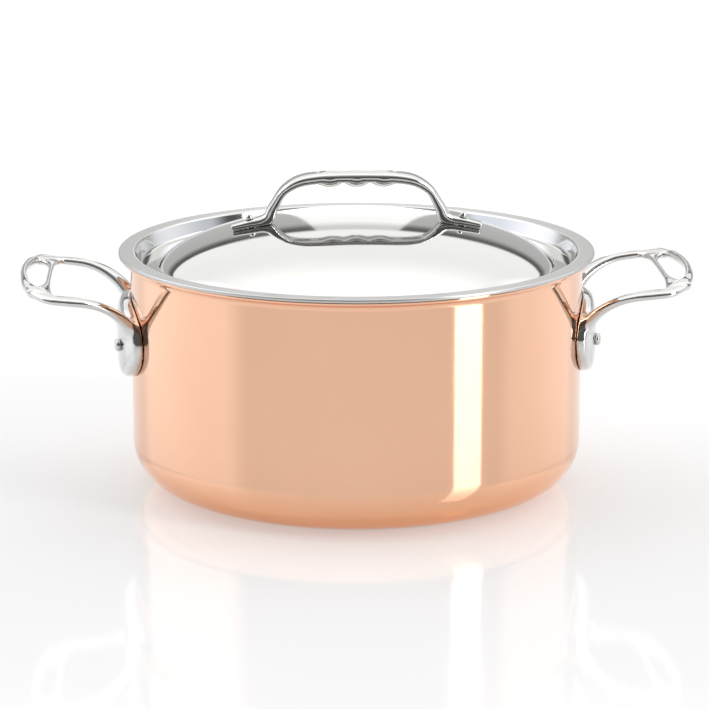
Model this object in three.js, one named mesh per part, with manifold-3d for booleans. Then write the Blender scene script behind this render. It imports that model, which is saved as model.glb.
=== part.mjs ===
// Two-handled copper stewpan with a recessed, domed steel lid.
// Millimetres, +Z up, +X along the side handles.
// The origin is the middle of the base, on the surface it stands on.

import * as THREE from 'three';
import { mergeVertices } from 'three/addons/utils/BufferGeometryUtils.js';
import Module from 'manifold-3d';

const wasm = await Module();
wasm.setup();

// ---- Driving dimensions ----

const SEGMENTS = 60;            // facets round the pan and the lid
const GAP = 0.3;                // clearance between a casting and what it is fastened to
const SKIN_GAP = 0.1;           // clearance between the bonded layers of the pan

const BODY_RADIUS = 122.5;      // outside of the copper wall
const RIM_HEIGHT = 129.5;       // top of the lid's flange, above the surface the pan stands on
const CORNER_RADIUS = 25;       // between floor and wall
const COPPER = 1.7;
const LINING = 0.5;
const DISC_THICKNESS = 0.8;
const DISC_RADIUS = 96;

const LIP_RADIUS = 127.5;       // edge of the pan's pouring lip
const FLARE_WIDTH = 4.6;        // how far the wall sweeps out below the lip
const FLARE_HEIGHT = 8;

const LID_SHEET = 0.9;
const FLANGE_RADIUS = 128.8;
const FLANGE_INNER = 119.9;     // where the flange turns down into the lid's seating wall
const FLANGE_BEND = 1.6;
const HEM_DEPTH = 1.7;          // turned-down edge of the flange
const HEM_THICKNESS = 0.9;
const CHANNEL_DEPTH = 8.2;      // below the flange
const CHANNEL_RADIUS = 117;
const DOME_RADIUS = 112.9;      // semi-axes and centre height of the dome's ellipsoid
const DOME_RISE = 35.8;
const DOME_CENTRE = RIM_HEIGHT - 18.8;

const PAD = {
  height: 83.6,                 // of its middle
  halfWidth: 42,                // along the wall
  halfHeight: 21.3,
  thickness: 7.6,
  power: 2.3,                   // of its superellipse outline
};
const SIDE_RIVET = { angle: 10, drop: 1.4, head: 6.6, headHeight: 3, shank: 4.6, tail: 9, tailHeight: 1.6 };
const LID_RIVET = { offset: 57, head: 4, headHeight: 4.4, shank: 3, tail: 6, tailHeight: 1.2 };

// Half of each loop, from its root to its middle: where the centre of the section runs,
// then the section's width, height and tilt.
const SIDE_LOOP = [
  { out: 121.0, side: 34.0, up: 92.5, width: 8.5, height: 7.0, tilt: 0 },
  { out: 125.6, side: 38.3, up: 98.6, width: 9.0, height: 6.2, tilt: 0 },
  { out: 129.2, side: 41.2, up: 102.6, width: 9.0, height: 5.8, tilt: 2 },
  { out: 134.0, side: 44.0, up: 106.3, width: 9.0, height: 5.4, tilt: 3 },
  { out: 140.0, side: 46.8, up: 109.5, width: 9.2, height: 5.0, tilt: 4 },
  { out: 147.0, side: 49.2, up: 111.6, width: 9.4, height: 4.8, tilt: 5 },
  { out: 155.0, side: 50.4, up: 112.7, width: 9.5, height: 4.6, tilt: 5 },
  { out: 163.0, side: 49.9, up: 113.6, width: 9.3, height: 4.5, tilt: 4 },
  { out: 170.6, side: 43.6, up: 115.5, width: 8.4, height: 4.5, tilt: 2 },
  { out: 176.5, side: 31.8, up: 117.3, width: 5.6, height: 4.8, tilt: 0 },
  { out: 178.9, side: 17.0, up: 118.0, width: 4.2, height: 5.0, tilt: 0 },
  { out: 179.9, side: 0.0, up: 118.2, width: 3.8, height: 5.0, tilt: 0 },
];
const SIDE_RIB = [
  { out: 169.2, side: 44.5, up: 115.0, width: 14.0, height: 4.0, tilt: -14 },
  { out: 168.6, side: 36.5, up: 115.2, width: 11.0, height: 3.8, tilt: -14 },
  { out: 167.0, side: 29.0, up: 115.4, width: 5.6, height: 3.6, tilt: -10 },
  { out: 166.3, side: 20.0, up: 115.5, width: 3.4, height: 3.6, tilt: 0 },
  { out: 166.2, side: 0.0, up: 115.6, width: 3.0, height: 3.6, tilt: 0 },
];
const LID_LOOP = [
  { out: 67.6, up: 141.3, width: 8.4, height: 4.0 },
  { out: 58.0, up: 143.2, width: 9.6, height: 5.6 },
  { out: 51.0, up: 144.3, width: 10.2, height: 7.0 },
  { out: 47.4, up: 146.6, width: 10.8, height: 7.4 },
  { out: 45.7, up: 150.8, width: 11.2, height: 6.6 },
  { out: 43.0, up: 156.0, width: 12.0, height: 5.6 },
  { out: 40.4, up: 160.2, width: 13.0, height: 5.4 },
  { out: 36.8, up: 163.4, width: 14.3, height: 5.8 },
  { out: 31.0, up: 166.4, width: 15.6, height: 6.4 },
  { out: 22.0, up: 168.1, width: 16.4, height: 6.7 },
  { out: 10.0, up: 168.7, width: 16.9, height: 6.8 },
  { out: 0.0, up: 168.8, width: 17.0, height: 6.8 },
];
const BUMP = { pitch: 14.5, depth: 2.4, drop: 1.6, offsets: [-1, 0, 1] };

const STEEL = { color: 0xc9c9c6, roughness: 0.12, metalness: 1 };
const COPPER_FINISH = { color: 0xe0a27c, roughness: 0.12, metalness: 1 };

// ---- Solids ----

function toSolid(geometry) {
  const bare = geometry.clone();
  for (const name of Object.keys(bare.attributes)) if (name !== 'position') bare.deleteAttribute(name);
  const merged = mergeVertices(bare, 1e-4);
  const mesh = new wasm.Mesh({
    numProp: 3,
    vertProperties: new Float32Array(merged.attributes.position.array),
    triVerts: new Uint32Array(merged.index.array),
  });
  return new wasm.Manifold(mesh);
}

function toGeometry(solid) {
  const mesh = solid.getMesh();
  const geometry = new THREE.BufferGeometry();
  geometry.setAttribute('position', new THREE.BufferAttribute(mesh.vertProperties, 3));
  geometry.setIndex(new THREE.BufferAttribute(mesh.triVerts, 1));
  geometry.computeVertexNormals();
  return geometry;
}

function unite(solids) {
  return solids.reduce((sum, solid) => sum.add(solid));
}

function cut(solid, tools) {
  return tools.reduce((rest, tool) => rest.subtract(tool), solid);
}

function addMesh(group, name, geometry, finish) {
  const mesh = new THREE.Mesh(geometry, new THREE.MeshStandardMaterial(finish));
  mesh.name = name;
  group.add(mesh);
}

/** Turns a closed outline of (radius, height) points about +Z. */
function turn(points, segments = SEGMENTS) {
  const lathe = new THREE.LatheGeometry(points, segments);
  lathe.rotateX(Math.PI / 2);
  return lathe;
}

/** A cylinder between two distances along an axis that starts at origin. */
function rod(origin, direction, from, to, radius, segments = 16) {
  const geometry = new THREE.CylinderGeometry(radius, radius, to - from, segments);
  geometry.translate(0, (from + to) / 2, 0);
  geometry.applyQuaternion(new THREE.Quaternion().setFromUnitVectors(new THREE.Vector3(0, 1, 0), direction));
  geometry.translate(origin.x, origin.y, origin.z);
  return toSolid(geometry);
}

/** A rounded bar through stations of {centre, width, height, tilt}; sideOf(tangent) is its width direction. */
function sweep(stations, sideOf, radial, steps) {
  const path = new THREE.CatmullRomCurve3(stations.map((s) => s.centre), false, 'centripetal');
  const sizes = new THREE.CatmullRomCurve3(
    stations.map((s) => new THREE.Vector3(s.width, s.height, s.tilt)), false, 'centripetal');
  const bar = new THREE.CylinderGeometry(1, 1, 1, radial, steps);
  const position = bar.attributes.position;
  const squared = (v) => Math.sign(v) * Math.abs(v) ** 0.75;
  for (let i = 0; i < position.count; i++) {
    const t = position.getY(i) + 0.5;
    const centre = path.getPoint(t);
    const tangent = path.getTangent(t);
    const size = sizes.getPoint(t);
    const side = sideOf(tangent);
    const normal = side.clone().cross(tangent);
    const tilt = THREE.MathUtils.degToRad(size.z);
    const across = side.clone().multiplyScalar(Math.cos(tilt)).addScaledVector(normal, -Math.sin(tilt));
    const up = normal.multiplyScalar(Math.cos(tilt)).addScaledVector(side, Math.sin(tilt));
    const point = centre.clone()
      .addScaledVector(across, squared(position.getX(i)) * size.x / 2)
      .addScaledVector(up, squared(position.getZ(i)) * size.y / 2);
    position.setXYZ(i, point.x, point.y, point.z);
  }
  return toSolid(bar);
}

/** Stations of a half loop, joined to their mirror image. */
function mirrored(half, place) {
  const whole = [...half.map((s) => ({ ...s, side: -(s.side ?? 0), hand: -1 })),
    ...half.slice(0, -1).reverse().map((s) => ({ ...s, hand: 1 }))];
  return whole.map((s) => ({ ...s, centre: place(s) }));
}

// ---- Pan ----

/** The copper's outer line and its outward normals, from the axis out along the floor and up to the lip. */
function panLine() {
  const floor = DISC_THICKNESS + SKIN_GAP;
  const line = [{ r: 0, z: floor, nr: 0, nz: -1 }];
  const cornerSteps = 5;
  for (let i = 0; i <= cornerSteps; i++) {
    const a = (i / cornerSteps) * Math.PI / 2;
    line.push({
      r: BODY_RADIUS - CORNER_RADIUS + CORNER_RADIUS * Math.sin(a),
      z: floor + CORNER_RADIUS - CORNER_RADIUS * Math.cos(a),
      nr: Math.sin(a),
      nz: -Math.cos(a),
    });
  }
  const flareSteps = 4;
  const lipUnderside = RIM_HEIGHT - LID_SHEET - GAP - LINING - SKIN_GAP - COPPER;
  for (let i = 0; i <= flareSteps; i++) {
    const a = (i / flareSteps) * Math.PI / 2;
    const normal = new THREE.Vector2(Math.cos(a) / FLARE_WIDTH, -Math.sin(a) / FLARE_HEIGHT).normalize();
    line.push({
      r: BODY_RADIUS + FLARE_WIDTH * (1 - Math.cos(a)),
      z: lipUnderside - FLARE_HEIGHT * (1 - Math.sin(a)),
      nr: normal.x,
      nz: normal.y,
    });
  }
  line.push({ r: LIP_RADIUS, z: lipUnderside, nr: 0, nz: -1 });
  return line;
}

/** The layer of the pan's wall between two depths measured inward from the copper's outer line. */
function panLayer(outer, inner) {
  const line = panLine();
  const at = (p, depth) => new THREE.Vector2(p.r - p.nr * depth, p.z - p.nz * depth);
  return turn([...line.map((p) => at(p, outer)), ...line.map((p) => at(p, inner)).reverse()]);
}

function baseDisc() {
  const chamfer = 0.3;
  return turn([
    new THREE.Vector2(0, 0),
    new THREE.Vector2(DISC_RADIUS - chamfer, 0),
    new THREE.Vector2(DISC_RADIUS, chamfer),
    new THREE.Vector2(DISC_RADIUS, DISC_THICKNESS),
    new THREE.Vector2(0, DISC_THICKNESS),
  ]);
}

// ---- Side handles ----

/** The riveting pad: a domed puck laid onto the wall. */
function sidePad() {
  const t = PAD.thickness;
  const profile = [[0, 0], [1, 0], [1, 0.36 * t], [0.97, 0.66 * t], [0.9, 0.86 * t], [0.76, 0.97 * t], [0, t]];
  const puck = turn(profile.map(([r, z]) => new THREE.Vector2(r, z)), 32);
  const position = puck.attributes.position;
  for (let i = 0; i < position.count; i++) {
    const angle = Math.atan2(position.getY(i), position.getX(i));
    const reach = Math.hypot(position.getX(i), position.getY(i));
    const squared = (v) => Math.sign(v) * Math.abs(v) ** (2 / PAD.power);
    const along = reach * squared(Math.cos(angle)) * PAD.halfWidth / BODY_RADIUS;
    const out = BODY_RADIUS + GAP + position.getZ(i);
    position.setXYZ(i, out * Math.cos(along), out * Math.sin(along),
      PAD.height + reach * squared(Math.sin(angle)) * PAD.halfHeight);
  }
  return toSolid(puck);
}

const sidePlace = (s) => new THREE.Vector3(s.out, s.side, s.up);

/** Horizontal direction square to the bar, pointing away from the middle of the loop. */
function awayFromLoop(tangent) {
  return new THREE.Vector3(tangent.y, -tangent.x, 0).normalize();
}

function sideRivetAxes() {
  return [-1, 1].map((hand) => {
    const angle = THREE.MathUtils.degToRad(SIDE_RIVET.angle * hand);
    return new THREE.Vector3(Math.cos(angle), Math.sin(angle), 0);
  });
}

const RIVET_ORIGIN = new THREE.Vector3(0, 0, PAD.height - SIDE_RIVET.drop);
const PAD_FACE = BODY_RADIUS + GAP + PAD.thickness;
const INNER_FACE = BODY_RADIUS - COPPER - SKIN_GAP - LINING;
const HEAD_SEAT = PAD_FACE - 0.4;   // bottom of the spot face
const CUTTER_OVERRUN = 5;
const BORE_CLEARANCE = 0.2;

function sideRivetHoles() {
  return sideRivetAxes().map((axis) =>
    rod(RIVET_ORIGIN, axis, INNER_FACE - CUTTER_OVERRUN, PAD_FACE + CUTTER_OVERRUN,
      SIDE_RIVET.shank / 2 + BORE_CLEARANCE));
}

/** The casting on the +X side: pad, loop and rib in one piece, bored and spot-faced for its rivets. */
function sideHandle() {
  const loop = sweep(mirrored(SIDE_LOOP, sidePlace), awayFromLoop, 10, 36);
  const rib = sweep(mirrored(SIDE_RIB, sidePlace), awayFromLoop, 8, 10);
  const spotFaces = sideRivetAxes().map((axis) =>
    rod(RIVET_ORIGIN, axis, HEAD_SEAT, PAD_FACE + 2 * CUTTER_OVERRUN, SIDE_RIVET.head / 2 + 0.5, 20));
  const castingHeight = 2 * PAD.halfHeight + 40;
  const wall = new THREE.CylinderGeometry(BODY_RADIUS + GAP, BODY_RADIUS + GAP, castingHeight, 2 * SEGMENTS);
  wall.rotateX(Math.PI / 2);
  wall.translate(0, 0, PAD.height);
  return cut(unite([sidePad(), loop, rib]), [...sideRivetHoles(), ...spotFaces, toSolid(wall)]);
}

/** Turned outline of a rivet along its axis: tail head, shank, domed head. */
function rivet(origin, axis, tailSeat, headSeat, size) {
  const shoulder = 0.5;
  const outline = [
    [0, tailSeat - size.tailHeight],
    [size.tail / 2 - shoulder, tailSeat - size.tailHeight],
    [size.tail / 2, tailSeat - size.tailHeight + shoulder],
    [size.tail / 2, tailSeat],
    [size.shank / 2, tailSeat],
    [size.shank / 2, headSeat],
    [size.head / 2, headSeat],
    [size.head / 2, headSeat + size.headHeight - shoulder],
    [size.head / 2 - shoulder, headSeat + size.headHeight],
    [0, headSeat + size.headHeight],
  ];
  const geometry = turn(outline.map(([r, z]) => new THREE.Vector2(r, z)), 14);
  geometry.applyQuaternion(new THREE.Quaternion().setFromUnitVectors(new THREE.Vector3(0, 0, 1), axis));
  geometry.translate(origin.x, origin.y, origin.z);
  return geometry;
}

// ---- Lid ----

const domeHeight = (radius) => DOME_CENTRE + DOME_RISE * Math.sqrt(1 - (radius / DOME_RADIUS) ** 2);

/** The lid's upper line and upward normals, from the middle of the dome out to the flange. */
function lidLine() {
  const channel = RIM_HEIGHT - CHANNEL_DEPTH;
  const line = [];
  const push = (r, z, nr, nz) => {
    const length = Math.hypot(nr, nz);
    line.push({ r, z, nr: nr / length, nz: nz / length });
  };
  const domeFoot = 0.945 * DOME_RADIUS;
  const domeSteps = 6;
  for (let i = 0; i <= domeSteps; i++) {
    const r = domeFoot * Math.sin((i / domeSteps) * Math.PI / 2);
    push(r, domeHeight(r), r / DOME_RADIUS ** 2, (domeHeight(r) - DOME_CENTRE) / DOME_RISE ** 2);
  }
  push(109.2, channel + 0.25, 0.25, 1);
  push(111, channel, 0, 1);
  push(CHANNEL_RADIUS - 2, channel, 0, 1);
  push(CHANNEL_RADIUS - 0.4, channel + 0.8, -1, 1);
  push(CHANNEL_RADIUS + 0.2, channel + 2.2, -1, 0.25);
  push(FLANGE_INNER - 0.2, RIM_HEIGHT - FLANGE_BEND, -1, 0.25);
  push(FLANGE_INNER + 0.4, RIM_HEIGHT - 0.45, -1, 1);
  push(FLANGE_INNER + FLANGE_BEND, RIM_HEIGHT, 0, 1);
  return line;
}

/** The pressed sheet, with its flange's edge turned down over the pan's lip. */
function lidShell() {
  const line = lidLine();
  const soft = 0.4;                 // rounding of the flange's edge
  const upper = line.map((p) => new THREE.Vector2(p.r, p.z));
  const lower = line.map((p) =>
    new THREE.Vector2(Math.max(0, p.r - p.nr * LID_SHEET), p.z - p.nz * LID_SHEET));
  const hemBottom = RIM_HEIGHT - HEM_DEPTH;
  const hemInner = FLANGE_RADIUS - HEM_THICKNESS;
  const hem = [
    [FLANGE_RADIUS - soft, RIM_HEIGHT],
    [FLANGE_RADIUS, RIM_HEIGHT - soft],
    [FLANGE_RADIUS, hemBottom + soft / 2],
    [FLANGE_RADIUS - soft / 2, hemBottom],
    [hemInner, hemBottom],
    [hemInner, RIM_HEIGHT - LID_SHEET],
  ].map(([r, z]) => new THREE.Vector2(r, z));
  return turn([...lower, ...hem.reverse(), ...upper.reverse()]);
}

const lidPlace = (s) => new THREE.Vector3(s.out * s.hand, 0, s.up);
const acrossHandle = () => new THREE.Vector3(0, 1, 0);

function lidRivetOrigin(hand) {
  return new THREE.Vector3(LID_RIVET.offset * hand, 0, domeHeight(LID_RIVET.offset));
}

/** The dome's outward normal where a rivet passes. */
function lidRivetAxis(hand) {
  const r = LID_RIVET.offset;
  const up = (domeHeight(r) - DOME_CENTRE) / DOME_RISE ** 2;
  return new THREE.Vector3(hand * r / DOME_RADIUS ** 2, 0, up).normalize();
}

const FOOT_THICKNESS = 2.6;         // under the rivet's head

function lidRivetHoles() {
  return [-1, 1].map((hand) =>
    rod(lidRivetOrigin(hand), lidRivetAxis(hand), -CUTTER_OVERRUN, FOOT_THICKNESS + CUTTER_OVERRUN,
      LID_RIVET.shank / 2 + BORE_CLEARANCE, 12));
}

/** The space taken by the lid below the handle's feet, clearance included. */
function domeBelowFeet() {
  const reach = 84;                 // well past the tips of the feet
  const steps = 14;
  const outline = [new THREE.Vector2(0, DOME_CENTRE), new THREE.Vector2(reach, DOME_CENTRE)];
  for (let i = 0; i <= steps; i++) {
    const r = reach * (1 - i / steps);
    outline.push(new THREE.Vector2(r, domeHeight(r) + GAP));
  }
  return toSolid(turn(outline));
}

/** The lid's loop handle: two feet, two legs and a bar with finger bumps below it. */
function lidHandle() {
  const loop = sweep(mirrored(LID_LOOP, lidPlace), acrossHandle, 10, 46);
  const bar = LID_LOOP[LID_LOOP.length - 1];
  const bumps = BUMP.offsets.map((step) => {
    const bump = new THREE.SphereGeometry(1, 14, 8);
    bump.rotateX(Math.PI / 2);
    bump.scale(BUMP.pitch * 0.5, bar.width * 0.44, BUMP.depth + bar.height / 2 - BUMP.drop);
    bump.translate(step * BUMP.pitch, 0, bar.up - BUMP.drop);
    return toSolid(bump);
  });
  const spotFaces = [-1, 1].map((hand) =>
    rod(lidRivetOrigin(hand), lidRivetAxis(hand), FOOT_THICKNESS, FOOT_THICKNESS + CUTTER_OVERRUN,
      LID_RIVET.head / 2 + 0.9, 16));
  return cut(unite([loop, ...bumps]), [domeBelowFeet(), ...spotFaces, ...lidRivetHoles()]);
}

// ---- Assembly ----

const stewpan = new THREE.Group();
const panBores = [0, Math.PI].flatMap((facing) =>
  sideRivetHoles().map((hole) => hole.rotate([0, 0, THREE.MathUtils.radToDeg(facing)])));

addMesh(stewpan, 'base_disc', baseDisc(), STEEL);
addMesh(stewpan, 'copper_shell', toGeometry(cut(toSolid(panLayer(0, COPPER)), panBores)), COPPER_FINISH);
const liningSolid = cut(toSolid(panLayer(COPPER + SKIN_GAP, COPPER + SKIN_GAP + LINING)), panBores);
addMesh(stewpan, 'steel_lining', toGeometry(liningSolid), STEEL);

for (const [end, facing] of [['right', 0], ['left', Math.PI]]) {
  const side = new THREE.Group();
  side.rotation.z = facing;
  addMesh(side, `side_handle_${end}`, toGeometry(sideHandle()), STEEL);
  sideRivetAxes().forEach((axis, i) => {
    const front = (i === 0) === (facing === 0);
    addMesh(side, `rivet_${end}_${front ? 'front' : 'back'}`,
      rivet(RIVET_ORIGIN, axis, INNER_FACE - GAP, HEAD_SEAT + GAP, SIDE_RIVET), STEEL);
  });
  stewpan.add(side);
}

addMesh(stewpan, 'lid_shell', toGeometry(cut(toSolid(lidShell()), lidRivetHoles())), STEEL);
addMesh(stewpan, 'lid_handle', toGeometry(lidHandle()), STEEL);
for (const [end, hand] of [['right', 1], ['left', -1]]) {
  const tailSeat = -LID_SHEET - GAP;
  const headSeat = FOOT_THICKNESS + GAP;
  addMesh(stewpan, `lid_rivet_${end}`,
    rivet(lidRivetOrigin(hand), lidRivetAxis(hand), tailSeat, headSeat, LID_RIVET), STEEL);
}

export default stewpan;
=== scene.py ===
"""A two-handled copper stewpan with a domed steel lid, on a glossy white floor.

Lengths are millimetres until a mesh is made. The handles are cast shapes: each is a field of distances,
meshed where it is zero. Everything turned is one outline swept about its axis.
"""

import math

import bpy
import numpy as np
from mathutils import Matrix, Vector


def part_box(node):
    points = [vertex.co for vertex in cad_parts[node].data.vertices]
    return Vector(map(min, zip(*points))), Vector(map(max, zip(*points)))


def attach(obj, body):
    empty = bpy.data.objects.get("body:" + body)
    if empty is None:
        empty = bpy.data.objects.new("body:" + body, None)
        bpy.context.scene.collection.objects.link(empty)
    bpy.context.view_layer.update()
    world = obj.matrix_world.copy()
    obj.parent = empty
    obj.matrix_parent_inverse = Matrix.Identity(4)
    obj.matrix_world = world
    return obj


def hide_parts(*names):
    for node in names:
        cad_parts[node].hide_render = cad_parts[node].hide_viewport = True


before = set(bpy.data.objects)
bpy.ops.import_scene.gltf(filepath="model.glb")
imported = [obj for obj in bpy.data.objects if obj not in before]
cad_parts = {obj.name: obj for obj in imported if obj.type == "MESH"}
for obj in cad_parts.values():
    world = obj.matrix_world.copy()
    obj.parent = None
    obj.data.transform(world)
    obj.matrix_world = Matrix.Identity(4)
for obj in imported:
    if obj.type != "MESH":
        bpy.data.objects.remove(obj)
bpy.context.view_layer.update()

MM = 0.001


def corner(node, which):
    """A CAD node's lowest (0) or highest (1) corner, in millimetres."""
    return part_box(node)[which] / MM


# ---- Driving dimensions, from the frame ----

GAP = 0.3
SKIN_GAP = 0.1
COPPER = 1.7
LINING = 0.5
DISC_THICKNESS = corner("base_disc", 1).z
DISC_RADIUS = corner("base_disc", 1).x
LIP_RADIUS = corner("copper_shell", 1).x
LIP_TOP = corner("steel_lining", 1).z
LIP_UNDERSIDE = LIP_TOP - LINING - SKIN_GAP - COPPER
FLARE = (4.6, 4.0)                      # how far the wall sweeps out below the lip, and over what height
WALL = LIP_RADIUS - FLARE[0] - 0.4      # outside radius of the copper
FLOOR_CORNER = 25.0

LID_SHEET = 0.9
RIM = LIP_TOP + GAP + LID_SHEET         # top of the lid's flange
FLANGE_RADIUS = corner("lid_shell", 1).x
FLANGE_INNER = 119.9
HEM_BOTTOM = RIM - 1.7
CHANNEL = RIM - 8.2
CHANNEL_RADIUS = 117.0
DOME_RADIUS = 112.9
DOME_RISE = 35.8
DOME_CENTRE = corner("lid_shell", 1).z - DOME_RISE

PAD_HEIGHT = 83.6                       # of the riveting pad's middle
PAD_HALF = (42.0, 21.3)                 # half its width along the wall, half its height
PAD_THICKNESS = 7.6
PAD_POWER = 2.3                         # of its superellipse outline
PAD_FACE = WALL + GAP + PAD_THICKNESS

BORE_CLEARANCE = 0.2                    # round a rivet's shank
SIDE_RIVET = {"head": 6.6, "head_height": 3.0, "shank": 4.6, "tail": 9.0, "tail_height": 1.6}
RIVET_HEIGHT = PAD_HEIGHT - 1.4
RIVET_ANGLE = 10.0                      # each side of the handle's middle
HEAD_SEAT = PAD_FACE - 0.4              # bottom of the spot face under a side rivet's head

LID_RIVET = {"head": 4.0, "head_height": 4.4, "shank": 3.0, "tail": 6.0, "tail_height": 1.2}
LID_RIVET_OFFSET = 57.0
FOOT_THICKNESS = 2.6                    # of the lid handle's feet under their rivets' heads
BUMP = {"pitch": 14.5, "depth": 2.4, "drop": 1.6, "length": 0.94, "width": 0.88}

# Half of each handle: where the middle of its section runs, then the section's width, height and tilt.
SIDE_LOOP = [
    # out, side, up, width, height, tilt
    (121.0, 34.0, 92.5, 8.5, 7.0, 0),
    (125.6, 38.3, 98.6, 9.0, 6.2, 0),
    (129.2, 41.2, 102.6, 9.0, 5.8, 2),
    (134.0, 44.0, 106.3, 9.0, 5.4, 3),
    (140.0, 46.8, 109.5, 9.2, 5.0, 4),
    (147.0, 49.2, 111.6, 9.4, 4.8, 5),
    (155.0, 50.4, 112.7, 9.5, 4.6, 5),
    (163.0, 49.9, 113.6, 9.3, 4.5, 4),
    (170.6, 43.6, 115.5, 8.4, 4.5, 2),
    (176.5, 31.8, 117.3, 5.6, 4.8, 0),
    (178.9, 17.0, 118.0, 4.2, 5.0, 0),
    (179.9, 0.0, 118.2, 3.8, 5.0, 0),
]
SIDE_RIB = [
    # out, side, up, width, height, tilt
    (169.2, 44.5, 115.0, 14.0, 4.0, -14),
    (168.6, 36.5, 115.2, 11.0, 3.8, -14),
    (167.0, 29.0, 115.4, 5.6, 3.6, -10),
    (166.3, 20.0, 115.5, 3.4, 3.6, 0),
    (166.2, 0.0, 115.6, 3.0, 3.6, 0),
]
LID_LOOP = [
    # out, up, width, height
    (67.6, 141.3, 8.4, 4.0),
    (58.0, 143.2, 9.6, 5.6),
    (51.0, 144.3, 10.2, 7.0),
    (47.4, 146.6, 10.8, 7.4),
    (45.7, 150.8, 11.2, 6.6),
    (43.0, 156.0, 12.0, 5.6),
    (40.4, 160.2, 13.0, 5.4),
    (36.8, 163.4, 14.3, 5.8),
    (31.0, 166.4, 15.6, 6.4),
    (22.0, 168.1, 16.4, 6.7),
    (10.0, 168.7, 16.9, 6.7),
    (0.0, 168.8, 17.0, 6.7),
]


# ---- Outlines ----

def arc(centre, radii, start, stop, steps):
    """Points of an elliptical arc, angles in degrees."""
    angles = np.radians(np.linspace(start, stop, steps + 1))
    return [(centre[0] + radii[0] * math.cos(a), centre[1] + radii[1] * math.sin(a)) for a in angles]


def fillet(points, radii, steps=8):
    """An open line of points with each inner corner rounded to its radius."""
    points = [np.array(p, float) for p in points]
    line = [points[0]]
    for before, here, after, radius in zip(points, points[1:], points[2:], radii[1:-1]):
        into, out = here - before, after - here
        reach = [np.linalg.norm(into), np.linalg.norm(out)]
        into, out = into / reach[0], out / reach[1]
        turn = math.acos(np.clip(into @ out, -1, 1))
        if radius <= 0 or turn < 0.02:
            line.append(here)
            continue
        cut = min(radius * math.tan(turn / 2), 0.49 * min(reach))
        start, end = here - into * cut, here + out * cut
        for t in np.linspace(0, 1, steps + 1):
            line.append((1 - t) ** 2 * start + 2 * t * (1 - t) * here + t ** 2 * end)
    line.append(points[-1])
    return line


def offset(line, distance):
    """The line moved sideways, to its left for a positive distance."""
    line = np.array(line, float)
    steps = np.diff(line, axis=0)
    steps /= np.linalg.norm(steps, axis=1)[:, None]
    before = np.vstack([steps[:1], steps])
    after = np.vstack([steps, steps[-1:]])
    mean = before + after
    mean /= (np.linalg.norm(mean, axis=1) ** 2 / 2)[:, None]
    normals = np.stack([-mean[:, 1], mean[:, 0]], 1)
    return line + normals * distance


def spread(line, longest):
    """The line with its long stretches divided, and a short one kept beside each bend."""
    points = [line[0]]
    for a, b in zip(line, line[1:]):
        a, b = np.array(a, float), np.array(b, float)
        length = np.linalg.norm(b - a)
        if length > longest:
            edge = min(0.12 * longest, 0.3)
            inner = np.linspace(edge, length - edge, max(2, int(length / longest) + 1))
            points += [a + (b - a) * t / length for t in inner]
        points.append(b)
    return points


def sheet_outline(line, thickness, edge=None, longest=4.0):
    """The closed outline of a sheet whose outer side is the line, and which thickens to the line's left."""
    outer = spread([np.array(p) for p in line], longest)
    inner = spread(list(offset(line, thickness)), longest)[::-1]
    end, start = outer[-1], inner[0]
    if edge:
        across = start - end
        direction = (outer[-1] - outer[-2]) / np.linalg.norm(outer[-1] - outer[-2])
        outer[-1] = end - direction * edge
        inner[0] = start - direction * edge
        # Two rounded corners: each leaves its side early and comes onto the end a little way in.
        late, shallow, deep = 0.7, 0.08, 0.22
        outer += [outer[-1] + (end - outer[-1]) * late + across * shallow,
                  end + across * deep,
                  start - across * deep,
                  inner[0] + (start - inner[0]) * late - across * shallow]
    return outer + inner


# ---- Meshes ----

def new_object(name, vertices, faces, scale=MM):
    mesh = bpy.data.meshes.new(name)
    corners = [tuple(map(int, face)) for face in faces]
    mesh.from_pydata((np.asarray(vertices, float) * scale).tolist(), [], corners)
    mesh.validate()
    mesh.polygons.foreach_set("use_smooth", [True] * len(mesh.polygons))
    mesh.update()
    piece = bpy.data.objects.new(name, mesh)
    bpy.context.scene.collection.objects.link(piece)
    return piece


def turned(name, outline, segments=256, matrix=None):
    """Sweeps an outline of (radius, height) about +Z, which closes on itself or runs from axis to axis."""
    outline = [np.asarray(p, float) for p in outline]
    on_axis = [abs(p[0]) < 1e-6 for p in outline]
    angles = np.linspace(0, 2 * np.pi, segments, endpoint=False)
    vertices, rows = [], []
    for point, pole in zip(outline, on_axis):
        if pole:
            rows.append([len(vertices)] * segments)
            vertices.append((0, 0, point[1]))
        else:
            rows.append(list(range(len(vertices), len(vertices) + segments)))
            vertices += [(point[0] * math.cos(a), point[0] * math.sin(a), point[1]) for a in angles]
    closed = not (on_axis[0] and on_axis[-1])
    pairs = list(zip(rows, rows[1:])) + ([(rows[-1], rows[0])] if closed else [])
    faces = []
    for low, high in pairs:
        for i in range(segments):
            j = (i + 1) % segments
            ring = [low[i], low[j], high[j], high[i]]
            face = [v for k, v in enumerate(ring) if v != ring[k - 1]]
            if len(face) > 2:
                faces.append(face)
    vertices = np.array(vertices)
    if matrix is not None:
        vertices = vertices @ np.array(matrix.to_3x3()).T + np.array(matrix.translation)
    return new_object(name, vertices, faces)


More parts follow.
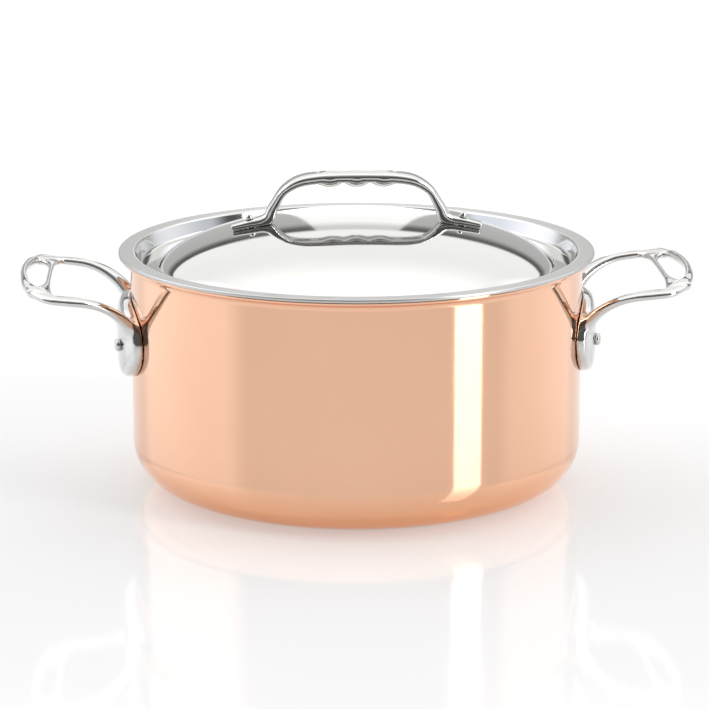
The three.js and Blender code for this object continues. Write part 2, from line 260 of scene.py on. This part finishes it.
def net(name, field, low, high, step):
    """Meshes the surface where the field is zero, then slides its points onto that surface."""
    low, high = np.array(low, float), np.array(high, float)
    counts = np.ceil((high - low) / step).astype(int) + 1
    axes = [low[i] + step * np.arange(counts[i]) for i in range(3)]
    grid = np.stack(np.meshgrid(*axes, indexing="ij"), -1).reshape(-1, 3)
    values = np.concatenate([field(grid[i:i + 60000]) for i in range(0, len(grid), 60000)]).reshape(counts)
    cells = counts - 1
    total = np.zeros((*cells, 3))
    hits = np.zeros(cells)
    crossings = []
    for axis in range(3):
        one, two = (axis + 1) % 3, (axis + 2) % 3
        v0 = np.take(values, range(counts[axis] - 1), axis)
        v1 = np.take(values, range(1, counts[axis]), axis)
        where = np.argwhere((v0 < 0) != (v1 < 0))
        for other in (one, two):
            where = where[(where[:, other] > 0) & (where[:, other] < cells[other])]
        a, b = v0[tuple(where.T)], v1[tuple(where.T)]
        place = where.astype(float)
        place[:, axis] += a / (a - b)
        around = []
        for back_one, back_two in ((1, 1), (0, 1), (0, 0), (1, 0)):
            cell = where.copy()
            cell[:, one] -= back_one
            cell[:, two] -= back_two
            np.add.at(total, tuple(cell.T), place)
            np.add.at(hits, tuple(cell.T), 1)
            around.append(cell)
        crossings.append((around, a < 0))
    used = hits > 0
    index = np.full(cells, -1)
    index[used] = np.arange(used.sum())
    points = low + step * total[used] / hits[used][:, None]
    faces = []
    for around, outward in crossings:
        quads = np.stack([index[tuple(c.T)] for c in around], 1)
        quads[~outward] = quads[~outward][:, ::-1]
        faces.append(quads)
    faces = np.concatenate(faces)
    points = settle(points, faces, field, step)
    return new_object(name, points, faces)


def settle(points, faces, field, step):
    """Evens the mesh out and puts every point on the field's zero."""
    edges = np.concatenate([faces[:, [0, 1]], faces[:, [1, 2]], faces[:, [2, 3]], faces[:, [3, 0]]])
    count = np.bincount(edges.ravel(), minlength=len(points))[:, None]
    for even in (0.6, 0.6, 0.4, 0.3, 0):
        if even:
            mean = np.zeros_like(points)
            np.add.at(mean, edges[:, 0], points[edges[:, 1]])
            np.add.at(mean, edges[:, 1], points[edges[:, 0]])
            points = points + even * (mean / count - points)
        for _ in range(2):
            value = field(points)
            nudge = 0.02
            slope = np.stack([(field(points + nudge * e) - field(points - nudge * e)) / (2 * nudge)
                              for e in np.eye(3)], 1)
            size = np.maximum((slope ** 2).sum(1), 0.04)
            move = np.clip(value / size, -step, step)
            points = points - move[:, None] * slope
    return points


# ---- Fields ----

def blend(a, b, radius):
    """The union of two fields with its inner corners filled to about that radius."""
    h = np.clip(0.5 + 0.5 * (b - a) / radius, 0, 1)
    return b + (a - b) * h - radius * h * (1 - h)


def carve(a, b, radius=0.3):
    """Field a without b, its new edges slightly rounded."""
    return -blend(-a, b, radius)


def superellipse(u, v, a, b, power):
    """The level of a rounded section, 1 on its edge, and how steeply it rises."""
    u, v = np.abs(u) / a, np.abs(v) / b
    level = np.maximum((u ** power + v ** power) ** (1 / power), 1e-4)
    slope = level ** (1 - power) * np.hypot(u ** (power - 1) / a, v ** (power - 1) / b)
    return level, np.maximum(slope, 1e-3)


def smooth_path(stations, samples):
    """Many stations between the given ones, along a centripetal Catmull-Rom curve."""
    stations = np.array(stations, float)
    ends = [2 * stations[0] - stations[1], 2 * stations[-1] - stations[-2]]
    padded = np.vstack([ends[0], stations, ends[1]])
    knots = np.concatenate([[0], np.cumsum(np.linalg.norm(np.diff(padded[:, :3], axis=0), axis=1) ** 0.5)])
    result = []
    for t in np.linspace(knots[1], knots[-2], samples):
        i = int(np.clip(np.searchsorted(knots, t, "right") - 1, 1, len(padded) - 3))
        p, k = padded[i - 1:i + 3], knots[i - 1:i + 3]

        def between(a, b, start, stop):
            return ((stop - t) * a + (t - start) * b) / (stop - start)

        a = [between(p[j], p[j + 1], k[j], k[j + 1]) for j in range(3)]
        b = [between(a[j], a[j + 1], k[j], k[j + 2]) for j in range(2)]
        result.append(between(b[0], b[1], k[1], k[2]))
    return np.array(result)


class Bar:
    """The field of a bar of rounded section along a smooth path of (x, y, z, width, height, tilt)."""

    def __init__(self, stations, side_of, power, samples):
        path = smooth_path(stations, samples)
        self.centre, self.half = path[:, :3], path[:, 3:5] / 2
        tangent = np.gradient(self.centre, axis=0)
        self.tangent = tangent / np.linalg.norm(tangent, axis=1)[:, None]
        side = side_of(self.tangent)
        normal = np.cross(side, self.tangent)
        tilt = np.radians(path[:, 5])[:, None]
        self.across = side * np.cos(tilt) - normal * np.sin(tilt)
        self.up = normal * np.cos(tilt) + side * np.sin(tilt)
        self.power = power

    def __call__(self, points):
        squares = (points ** 2).sum(1)[:, None] - 2 * points @ self.centre.T + (self.centre ** 2).sum(1)
        near = squares.argmin(1)
        away = points - self.centre[near]
        along = (away * self.tangent[near]).sum(1)
        neighbour = np.clip(near + np.sign(along).astype(int), 0, len(self.centre) - 1)
        spacing = np.linalg.norm(self.centre[neighbour] - self.centre[near], axis=1)
        t = np.where(spacing > 0, np.clip(np.abs(along) / np.maximum(spacing, 1e-6), 0, 1), 0)[:, None]

        def between(values):
            return values[near] * (1 - t) + values[neighbour] * t

        away = points - between(self.centre)
        half = between(self.half)
        u = (away * between(self.across)).sum(1)
        v = (away * between(self.up)).sum(1)
        level, slope = superellipse(u, v, half[:, 0], half[:, 1], self.power)
        beyond = np.abs((away * self.tangent[near]).sum(1)) - 0.2
        return -blend(-(level - 1) / slope, -beyond, 0.8)


def both_halves(half):
    """A half loop's stations and their mirror image across its middle."""
    return [(out, -side, *rest) for out, side, *rest in half] + [tuple(s) for s in half[-2::-1]]


def away_from_loop(tangent):
    side = np.stack([tangent[:, 1], -tangent[:, 0], 0 * tangent[:, 0]], 1)
    return side / np.linalg.norm(side, axis=1)[:, None]


def along_y(tangent):
    return np.tile((0.0, 1.0, 0.0), (len(tangent), 1))


def rod_field(points, origin, axis, radius):
    """Distance outside an endless rod, and how far along its axis each point is."""
    away = points - np.array(origin)
    along = away @ np.array(axis)
    return np.sqrt(np.maximum((away ** 2).sum(1) - along ** 2, 0)) - radius, along


def side_rivet_axes():
    for hand in (-1, 1):
        angle = math.radians(RIVET_ANGLE * hand)
        yield Vector((math.cos(angle), math.sin(angle), 0))


def pad_field(points):
    """The riveting pad: a pillow lying on the wall."""
    radius = np.hypot(points[:, 0], points[:, 1])
    along = np.arctan2(points[:, 1], points[:, 0]) * WALL
    level, slope = superellipse(along, points[:, 2] - PAD_HEIGHT, *PAD_HALF, PAD_POWER)
    depth = radius - (WALL + GAP)
    power = 4.0                         # how boxy its crown is
    rise = np.maximum(depth, 0) / PAD_THICKNESS
    crown = np.maximum((level ** power + rise ** power) ** (1 / power), 1e-4)
    steep = np.hypot(level ** (power - 1) * slope, rise ** (power - 1) / PAD_THICKNESS)
    return (crown - 1) / np.maximum(crown ** (1 - power) * steep, 1e-3)


def side_handle_field():
    loop = Bar(both_halves(SIDE_LOOP), away_from_loop, power=2.7, samples=160)
    rib = Bar(both_halves(SIDE_RIB), away_from_loop, power=2.4, samples=90)
    rib_fillet, pad_fillet, seat_clearance = 2.2, 3.5, 0.5

    def field(points):
        shape = blend(loop(points), rib(points), rib_fillet)
        shape = blend(shape, pad_field(points), pad_fillet)
        for axis in side_rivet_axes():
            origin = (0, 0, RIVET_HEIGHT)
            hole, along = rod_field(points, origin, axis, SIDE_RIVET["shank"] / 2 + BORE_CLEARANCE)
            seat, _ = rod_field(points, origin, axis, SIDE_RIVET["head"] / 2 + seat_clearance)
            shape = carve(shape, np.maximum(hole, -along))
            shape = carve(shape, np.maximum(seat, HEAD_SEAT - along))
        wall = WALL + GAP - np.hypot(points[:, 0], points[:, 1])
        return -blend(-shape, -wall, 0.4)

    return field


def dome_height(radius):
    return DOME_CENTRE + DOME_RISE * math.sqrt(1 - (radius / DOME_RADIUS) ** 2)


def lid_rivet_frame(hand):
    """The point of the dome where a lid rivet passes, and the dome's normal there."""
    origin = Vector((hand * LID_RIVET_OFFSET, 0, dome_height(LID_RIVET_OFFSET)))
    normal = Vector((origin.x / DOME_RADIUS ** 2, 0, (origin.z - DOME_CENTRE) / DOME_RISE ** 2))
    return origin, normal.normalized()


def lid_handle_field():
    half = [(-out, 0.0, up, width, height, 0) for out, up, width, height in LID_LOOP]
    stations = half + [(-s[0], *s[1:]) for s in half[-2::-1]]
    loop = Bar(stations, along_y, power=2.8, samples=160)
    bar_up, bar_width, bar_height = LID_LOOP[-1][1:]
    bump_up = bar_up - BUMP["drop"]
    bump_radii = np.array((BUMP["pitch"] * BUMP["length"] / 2, bar_width * BUMP["width"] / 2,
                           BUMP["depth"] + bar_height / 2 - BUMP["drop"]))
    bump_fillet, seat_clearance = 1.6, 0.9

    def field(points):
        shape = loop(points)
        for step in (-1, 0, 1):
            bump = points - np.array((step * BUMP["pitch"], 0, bump_up))
            level = np.sqrt(((bump / bump_radii) ** 2).sum(1))
            slope = np.sqrt(((bump / bump_radii ** 2) ** 2).sum(1)) / np.maximum(level, 1e-4)
            shape = blend(shape, (level - 1) / np.maximum(slope, 1e-3), bump_fillet)
        reach = np.minimum(np.hypot(points[:, 0], points[:, 1]) / DOME_RADIUS, 0.97)
        dome = DOME_CENTRE + DOME_RISE * np.sqrt(1 - reach ** 2)
        shape = carve(shape, points[:, 2] - dome - GAP)
        for hand in (-1, 1):
            origin, normal = lid_rivet_frame(hand)
            hole, _ = rod_field(points, origin, normal, LID_RIVET["shank"] / 2 + BORE_CLEARANCE)
            seat, along = rod_field(points, origin, normal, LID_RIVET["head"] / 2 + seat_clearance)
            shape = carve(shape, hole)
            shape = carve(shape, np.maximum(seat, FOOT_THICKNESS - along))
        return shape

    return field


# ---- Materials ----

class Shader:
    """A material's node tree around one Principled shader."""

    def __init__(self, name, colour, metallic, roughness):
        self.material = bpy.data.materials.new(name)
        self.material.use_nodes = True
        self.nodes, self.links = self.material.node_tree.nodes, self.material.node_tree.links
        self.shader = self.nodes["Principled BSDF"]
        self.set(self.shader, {"Base Color": (*colour, 1), "Metallic": metallic, "Roughness": roughness})

    def set(self, node, values):
        for name, value in values.items():
            if isinstance(value, bpy.types.NodeSocket):
                self.links.new(value, node.inputs[name])
            else:
                node.inputs[name].default_value = value

    def node(self, kind, values=None, **settings):
        node = self.nodes.new("ShaderNode" + kind)
        for name, value in settings.items():
            setattr(node, name, value)
        self.set(node, values or {})
        return node

    def maths(self, operation, a, b=0.0):
        node = self.node("Math", operation=operation)
        for i, value in enumerate((a, b)):
            if isinstance(value, bpy.types.NodeSocket):
                self.links.new(value, node.inputs[i])
            else:
                node.inputs[i].default_value = value
        return node.outputs[0]

    def place(self):
        return self.node("TexCoord").outputs["Object"]

    def noise(self, vector, scale, detail=2.0, roughness=0.5):
        values = {"Vector": vector, "Scale": scale, "Detail": detail, "Roughness": roughness}
        return self.node("TexNoise", values).outputs["Fac"]

    def radius(self):
        x, y, _ = self.node("SeparateXYZ", {"Vector": self.place()}).outputs
        squares = self.maths("ADD", self.maths("MULTIPLY", x, x), self.maths("MULTIPLY", y, y))
        return self.maths("MAXIMUM", self.maths("SQRT", squares), 0.001)

    def turning(self, around, across):
        """Coordinates for turning marks: slow round the axis, quick along the profile."""
        x, y, z = self.node("SeparateXYZ", {"Vector": self.place()}).outputs
        radius = self.radius()
        profile = self.maths("ADD", radius, z)
        join = self.node("CombineXYZ")
        parts = (self.maths("MULTIPLY", self.maths("DIVIDE", x, radius), around),
                 self.maths("MULTIPLY", self.maths("DIVIDE", y, radius), around),
                 self.maths("MULTIPLY", profile, across))
        for i, part in enumerate(parts):
            self.links.new(part, join.inputs[i])
        return join.outputs[0]

    def span(self, value, low, high):
        """Rescales a noise, most of which lies in 0.3..0.7, to low..high."""
        values = {"Value": value, "From Min": 0.3, "From Max": 0.7, "To Min": low, "To Max": high}
        return self.node("MapRange", values).outputs["Result"]

    def ramp(self, value, start, stop):
        """Rises from 0 at start to 1 at stop."""
        values = {"Value": value, "From Min": start, "From Max": stop}
        return self.node("MapRange", values).outputs["Result"]

    def mix(self, factor, a, b):
        """Colour a at factor 0, b at 1; each is a colour or another colour's socket."""
        node = self.node("Mix", data_type="RGBA")
        self.links.new(factor, node.inputs["Factor"])
        for socket, colour in ((node.inputs[6], a), (node.inputs[7], b)):
            if isinstance(colour, bpy.types.NodeSocket):
                self.links.new(colour, socket)
            else:
                socket.default_value = (*colour, 1)
        return node.outputs[2]

    def bump(self, height, distance, strength=1.0, normal=None):
        values = {"Height": height, "Distance": distance, "Strength": strength}
        if normal is not None:
            values["Normal"] = normal
        return self.node("Bump", values).outputs["Normal"]

    def finish(self, colour=None, roughness=None, normal=None):
        for name, value in (("Base Color", colour), ("Roughness", roughness), ("Normal", normal)):
            if value is not None:
                self.links.new(value, self.shader.inputs[name])
        return self.material


def polished_copper():
    """Mirror-polished copper: turning marks, cloudy handling marks, a slight ripple, and a redder foot that
    is painted reflection: the warm light bounced between the copper and the floor.
    """
    s = Shader("polished_copper", (0.84, 0.50, 0.35), 1, 0.06)
    cloud = s.noise(s.place(), 22, 3, 0.6)
    lines = s.noise(s.turning(3.0, 900.0), 1.0, 3)
    colour = s.mix(cloud, (0.86, 0.52, 0.355), (0.82, 0.485, 0.325))
    _, _, height = s.node("SeparateXYZ", {"Vector": s.place()}).outputs
    # Painted reflection: below 26 mm the copper is tinted deeper orange for the warm light bounced between
    # copper and floor.
    colour = s.mix(s.ramp(height, 0.004, 0.026), (0.93, 0.45, 0.23), colour)
    haze = s.maths("ADD", s.span(cloud, 0.035, 0.075), s.maths("MULTIPLY", lines, 0.03))
    ripple = s.bump(s.noise(s.place(), 9, 1), 0.0004, 0.25)
    return s.finish(colour, haze, s.bump(lines, 0.000004, 0.5, ripple))


def polished_steel():
    """Mirror-polished pressed steel, its flange brushed."""
    s = Shader("polished_steel", (0.66, 0.655, 0.64), 1, 0.05)
    cloud = s.noise(s.place(), 30, 3, 0.6)
    lines = s.noise(s.turning(3.0, 1100.0), 1.0, 3)
    colour = s.mix(cloud, (0.69, 0.685, 0.67), (0.64, 0.635, 0.62))
    haze = s.maths("ADD", s.span(cloud, 0.03, 0.07), s.maths("MULTIPLY", lines, 0.02))
    flange = s.ramp(s.radius(), (FLANGE_INNER - 0.4) * MM, (FLANGE_INNER + 0.9) * MM)
    haze = s.maths("ADD", haze, s.maths("MULTIPLY", flange, 0.28))
    colour = s.mix(flange, colour, (0.57, 0.567, 0.555))
    return s.finish(colour, haze, s.bump(lines, 0.000004, 0.4))


def cast_steel():
    """Cast steel, polished by hand so that its reflections run unevenly."""
    s = Shader("cast_steel", (0.62, 0.615, 0.60), 1, 0.08)
    cloud = s.noise(s.place(), 60, 3, 0.6)
    colour = s.mix(cloud, (0.66, 0.655, 0.64), (0.60, 0.595, 0.58))
    uneven = s.bump(s.noise(s.place(), 85, 1), 0.0005, 0.35)
    grain = s.bump(s.noise(s.place(), 900, 2), 0.00001, 0.4, uneven)
    return s.finish(colour, s.span(cloud, 0.05, 0.12), grain)


def rivet_steel():
    """Rivet heads, upset and buffed: a little duller than the castings."""
    s = Shader("rivet_steel", (0.6, 0.595, 0.58), 1, 0.14)
    pits = s.noise(s.place(), 700, 3, 0.6)
    colour = s.mix(pits, (0.63, 0.625, 0.61), (0.56, 0.555, 0.54))
    return s.finish(colour, s.span(pits, 0.1, 0.2), s.bump(pits, 0.00005, 0.3))


def satin_steel():
    """Fine turned satin steel, for the lining and the base disc."""
    s = Shader("satin_steel", (0.6, 0.595, 0.58), 1, 0.28)
    lines = s.noise(s.turning(2.0, 1600.0), 1.0, 4, 0.7)
    broad = s.noise(s.turning(2.0, 260.0), 1.0, 2)
    colour = s.mix(broad, (0.62, 0.615, 0.6), (0.56, 0.555, 0.54))
    return s.finish(colour, s.span(lines, 0.2, 0.36), s.bump(lines, 0.00003, 0.6))


def floor_gloss():
    """Glossy white acrylic, lit a little from below."""
    s = Shader("white_acrylic", (0.53, 0.53, 0.53), 0, 0.06)
    s.shader.inputs["IOR"].default_value = 1.45
    s.set(s.shader, {"Emission Color": (1, 1, 1, 1), "Emission Strength": 0.38})
    s.finish(roughness=s.span(s.noise(s.place(), 12, 2), 0.05, 0.08))
    return s.material


# ---- Pieces ----

def finish_piece(piece, body, nodes, material):
    piece.data.materials.append(material)
    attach(piece, body)
    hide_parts(*nodes)
    return piece


def drill(piece, bores, radius):
    """Cuts round holes: each bore is (origin, axis, from, to)."""
    cutters = []
    for origin, axis, start, stop in bores:
        turn = Vector((0, 0, 1)).rotation_difference(Vector(axis)).to_matrix().to_4x4()
        outline = [(0, start), (radius, start), (radius, stop), (0, stop)]
        cutters.append(turned("cutter", outline, 32, Matrix.Translation(origin) @ turn))
        modifier = piece.modifiers.new("bore", "BOOLEAN")
        modifier.object = cutters[-1]
        modifier.operation = "DIFFERENCE"
        modifier.solver = "EXACT"
    evaluated = piece.evaluated_get(bpy.context.evaluated_depsgraph_get())
    mesh = bpy.data.meshes.new_from_object(evaluated)
    piece.modifiers.clear()
    old, piece.data = piece.data, mesh
    mesh.name = piece.name
    bpy.data.meshes.remove(old)
    for cutter in cutters:
        bpy.data.objects.remove(cutter)
    return piece


def pan_line():
    """The copper's outer line, from the axis along the floor and up to the lip's edge."""
    floor = DISC_THICKNESS + SKIN_GAP
    line = [(0, floor), (WALL - FLOOR_CORNER, floor)]
    line += arc((WALL - FLOOR_CORNER, floor + FLOOR_CORNER), (FLOOR_CORNER, FLOOR_CORNER), -90, 0, 24)[1:]
    flare = arc((WALL + FLARE[0], LIP_UNDERSIDE - FLARE[1]), FLARE, 180, 90, 12)
    return line + flare + [(LIP_RADIUS, LIP_UNDERSIDE)]


def pan_layer(name, depth, thickness):
    line = offset(pan_line(), depth)
    line[0][0] = 0
    outline = sheet_outline(line, thickness, edge=min(0.3, thickness / 2))
    outline[-1] = np.array((0, outline[-1][1]))
    return turned(name, outline, 288)


def pan_bores():
    """The rivets' holes, from inside the wall to outside it."""
    for facing in (0, math.pi):
        turn = Matrix.Rotation(facing, 3, "Z")
        for axis in side_rivet_axes():
            yield (0, 0, RIVET_HEIGHT), turn @ axis, WALL - 12, WALL + 6


def build_pan():
    copper = pan_layer("copper_body", 0, COPPER)
    lining = pan_layer("lining", COPPER + SKIN_GAP, LINING)
    for piece in (copper, lining):
        drill(piece, pan_bores(), SIDE_RIVET["shank"] / 2 + BORE_CLEARANCE)
    finish_piece(copper, "pan", ["copper_shell"], polished_copper())
    satin = satin_steel()
    finish_piece(lining, "pan", ["steel_lining"], satin)
    recess, low_edge, high_edge = 0.35, 0.25, 0.15
    disc = [(0, recess), (12, recess), (12.3, 0),
            (DISC_RADIUS - low_edge, 0), (DISC_RADIUS, low_edge),
            (DISC_RADIUS, DISC_THICKNESS - high_edge), (DISC_RADIUS - high_edge, DISC_THICKNESS),
            (0, DISC_THICKNESS)]
    base = turned("base_plate", spread(disc, 3.0), 256)
    finish_piece(base, "pan", ["base_disc"], satin)


def rivet(name, origin, axis, tail_seat, head_seat, size, material, body, node):
    """A rivet: a low tail head inside, the shank, and a domed head outside."""
    head, shank, tail = size["head"] / 2, size["shank"] / 2, size["tail"] / 2
    top = head_seat + size["head_height"]
    crown = 0.55 * size["head_height"]
    outline = arc((0, tail_seat), (tail, -size["tail_height"]), 90, 0, 10)
    outline += [(shank, tail_seat), (shank, head_seat), (head, head_seat)]
    outline += arc((0, top - crown), (head, crown), 0, 90, 12)
    outline[0], outline[-1] = (0, outline[0][1]), (0, top)
    turn = Vector((0, 0, 1)).rotation_difference(Vector(axis)).to_matrix().to_4x4()
    piece = turned(name, outline, 40, Matrix.Translation(origin) @ turn)
    return finish_piece(piece, body, [node], material)


def build_side_handles():
    cast, buffed = cast_steel(), rivet_steel()
    low, high = corner("side_handle_right", 0), corner("side_handle_right", 1)
    margin = Vector((2, 2, 2))
    right = net("loop_handle_right", side_handle_field(), low - margin, high + margin, step=0.8)
    left = right.copy()
    left.data = right.data.copy()
    left.name = "loop_handle_left"
    left.data.transform(Matrix.Rotation(math.pi, 4, "Z"))
    bpy.context.scene.collection.objects.link(left)
    finish_piece(right, "pan", ["side_handle_right"], cast)
    left.data.materials.clear()
    finish_piece(left, "pan", ["side_handle_left"], cast)
    inside = WALL - COPPER - SKIN_GAP - LINING - GAP
    for end, facing in (("right", 0), ("left", math.pi)):
        turn = Matrix.Rotation(facing, 3, "Z")
        for axis in side_rivet_axes():
            axis = turn @ axis
            where = f"{end}_{'front' if axis.y < 0 else 'back'}"
            origin = Vector((0, 0, RIVET_HEIGHT))
            rivet(f"handle_rivet_{where}", origin, axis, inside, HEAD_SEAT + GAP, SIDE_RIVET,
                  buffed, "pan", f"rivet_{where}")
    return cast, buffed


def lid_line():
    """The lid's upper line, from the flange's hem to the middle of the dome."""
    dome_foot = 19.2                    # degrees of the dome's ellipse
    dome = arc((0, DOME_CENTRE), (DOME_RADIUS, DOME_RISE), dome_foot, 90, 40)
    dome[-1] = (0, dome[-1][1])
    foot = dome[0]
    points = [(FLANGE_RADIUS, HEM_BOTTOM), (FLANGE_RADIUS, RIM), (FLANGE_INNER - 0.1, RIM),
              (CHANNEL_RADIUS + 0.1, CHANNEL), (foot[0] + 1.0, CHANNEL), foot]
    radii = [0, 0.95, 1.5, 2.4, 3.0, 0]
    return fillet(points, radii, 8) + dome[1:]


def build_lid(cast, buffed):
    outline = sheet_outline(lid_line()[::-1], -LID_SHEET, edge=0.3)
    outline[0], outline[-1] = np.array((0, outline[0][1])), np.array((0, outline[-1][1]))
    lid = turned("lid_cover", outline[::-1], 288)
    bores = [(*lid_rivet_frame(hand), -6, 8) for hand in (-1, 1)]
    drill(lid, bores, LID_RIVET["shank"] / 2 + BORE_CLEARANCE)
    finish_piece(lid, "lid", ["lid_shell"], polished_steel())
    low, high = corner("lid_handle", 0), corner("lid_handle", 1)
    margin = Vector((2, 2, 2))
    grip = net("lid_grip", lid_handle_field(), low - margin, high + margin, step=0.6)
    finish_piece(grip, "lid", ["lid_handle"], cast)
    for end, hand in (("right", 1), ("left", -1)):
        origin, normal = lid_rivet_frame(hand)
        rivet(f"grip_rivet_{end}", origin, normal, -LID_SHEET - GAP, FOOT_THICKNESS + GAP, LID_RIVET,
              buffed, "lid", f"lid_rivet_{end}")


# ---- Stage ----

def polar(azimuth, distance, height):
    """A place by its azimuth, in degrees from the front towards +X."""
    a = math.radians(azimuth)
    return distance * math.sin(a), -distance * math.cos(a), height


class Sky:
    """The studio round the pan: a dim room with lit panels, placed by azimuth and elevation in degrees."""

    def __init__(self, base):
        world = bpy.data.worlds.new("studio")
        world.use_nodes = True
        bpy.context.scene.world = world
        self.tree = world.node_tree
        direction = self.add("TexCoord").outputs["Generated"]
        x, y, z = self.add("SeparateXYZ", direction).outputs
        front = self.maths("MULTIPLY", y, -1.0)
        self.azimuth = self.maths("DEGREES", self.maths("ARCTAN2", x, front))
        self.elevation = self.maths("DEGREES", self.maths("ARCSINE", z))
        self.total = self.add("CombineXYZ", base, base, base).outputs[0]

    def add(self, kind, *inputs, **settings):
        node = self.tree.nodes.new("ShaderNode" + kind)
        for name, value in settings.items():
            setattr(node, name, value)
        for socket, value in zip(node.inputs, inputs):
            if isinstance(value, bpy.types.NodeSocket):
                self.tree.links.new(value, socket)
            else:
                socket.default_value = value
        return node

    def maths(self, operation, *inputs):
        return self.add("Math", *inputs, operation=operation).outputs[0]

    def ramp(self, value, start, stop):
        node = self.add("MapRange", value, start, stop, 0.0, 1.0, interpolation_type="SMOOTHSTEP")
        return node.outputs["Result"]

    def window(self, value, low, high, soft):
        rising = self.ramp(value, low - soft / 2, low + soft / 2)
        falling = self.ramp(value, high + soft / 2, high - soft / 2)
        return self.maths("MULTIPLY", rising, falling)

    def softbox(self, azimuths, elevations, radiance, soft, tint=(1, 1, 1)):
        """A panel whose edges fade over soft degrees: (of azimuth, of elevation)."""
        self.shine(self.window(self.azimuth, *azimuths, soft[0]), elevations, radiance, soft[1], tint)

    def backdrop(self, azimuth, elevations, radiance, soft):
        """As softbox, but from that azimuth round the back to the same one on the other side."""
        turned_round = self.maths("ABSOLUTE", self.azimuth)
        wide = self.ramp(turned_round, azimuth - soft[0] / 2, azimuth + soft[0] / 2)
        self.shine(wide, elevations, radiance, soft[1])

    def shine(self, wide, elevations, radiance, soft, tint=(1, 1, 1)):
        tall = self.window(self.elevation, *elevations, soft)
        lit = self.add("VectorMath", [radiance * t for t in tint], operation="SCALE")
        self.tree.links.new(self.maths("MULTIPLY", wide, tall), lit.inputs["Scale"])
        self.total = self.add("VectorMath", self.total, lit.outputs[0], operation="ADD").outputs[0]

    def finish(self):
        """The camera itself sees plain white."""
        studio = self.tree.nodes["Background"]
        self.tree.links.new(self.total, studio.inputs["Color"])
        white = self.add("Background", (1, 1, 1, 1), 1.0)
        seen = self.add("LightPath").outputs["Is Camera Ray"]
        choice = self.add("MixShader", seen)
        self.tree.links.new(studio.outputs[0], choice.inputs[1])
        self.tree.links.new(white.outputs[0], choice.inputs[2])
        self.tree.links.new(choice.outputs[0], self.tree.nodes["World Output"].inputs["Surface"])


def build_stage():
    reach = 6.0                         # metres each way
    square = [(x * reach, y * reach, 0) for x, y in ((-1, -1), (1, -1), (1, 1), (-1, 1))]
    floor = new_object("floor", square, [(0, 1, 2, 3)], 1.0)
    floor.data.materials.append(floor_gloss())
    sky = Sky(0.12)
    # The key light, a tall strip at the front right.
    sky.softbox((47.3, 62.6), (2, 44), 7.0, (0.8, 2))
    # Softer fills on the left and the right.
    sky.softbox((-138, -66), (3, 45), 1.0, (16, 14), (0.95, 1.0, 1.12))
    sky.softbox((78, 136), (3, 40), 0.65, (14, 14), (0.95, 1.0, 1.1))
    # Behind the pan: a grey wall with a narrow white panel in it, and the white ceiling above them.
    sky.backdrop(100, (-5, 17), 0.45, (40, 5))
    sky.softbox((173.8, 181), (-2, 21), 0.7, (0.4, 1))
    sky.backdrop(60, (21, 95), 1.12, (80, 1.2))
    # Overhead, the same all the way round.
    sky.backdrop(-1, (50, 95), 0.45, (1, 30))
    sky.finish()


def build_camera():
    camera = bpy.data.cameras.new("camera")
    camera.sensor_width = 36
    camera.lens = 152.3
    view = bpy.data.objects.new("camera", camera)
    view.location = polar(azimuth=-3.0, distance=1.5937, height=0.4629)
    tilt_down, turn = 13.86, -2.962
    view.rotation_euler = (math.radians(90 - tilt_down), 0, math.radians(turn))
    bpy.context.scene.collection.objects.link(view)
    bpy.context.scene.camera = view


build_pan()
build_lid(*build_side_handles())
build_stage()
build_camera()
bpy.context.scene.view_settings.view_transform = "Standard"
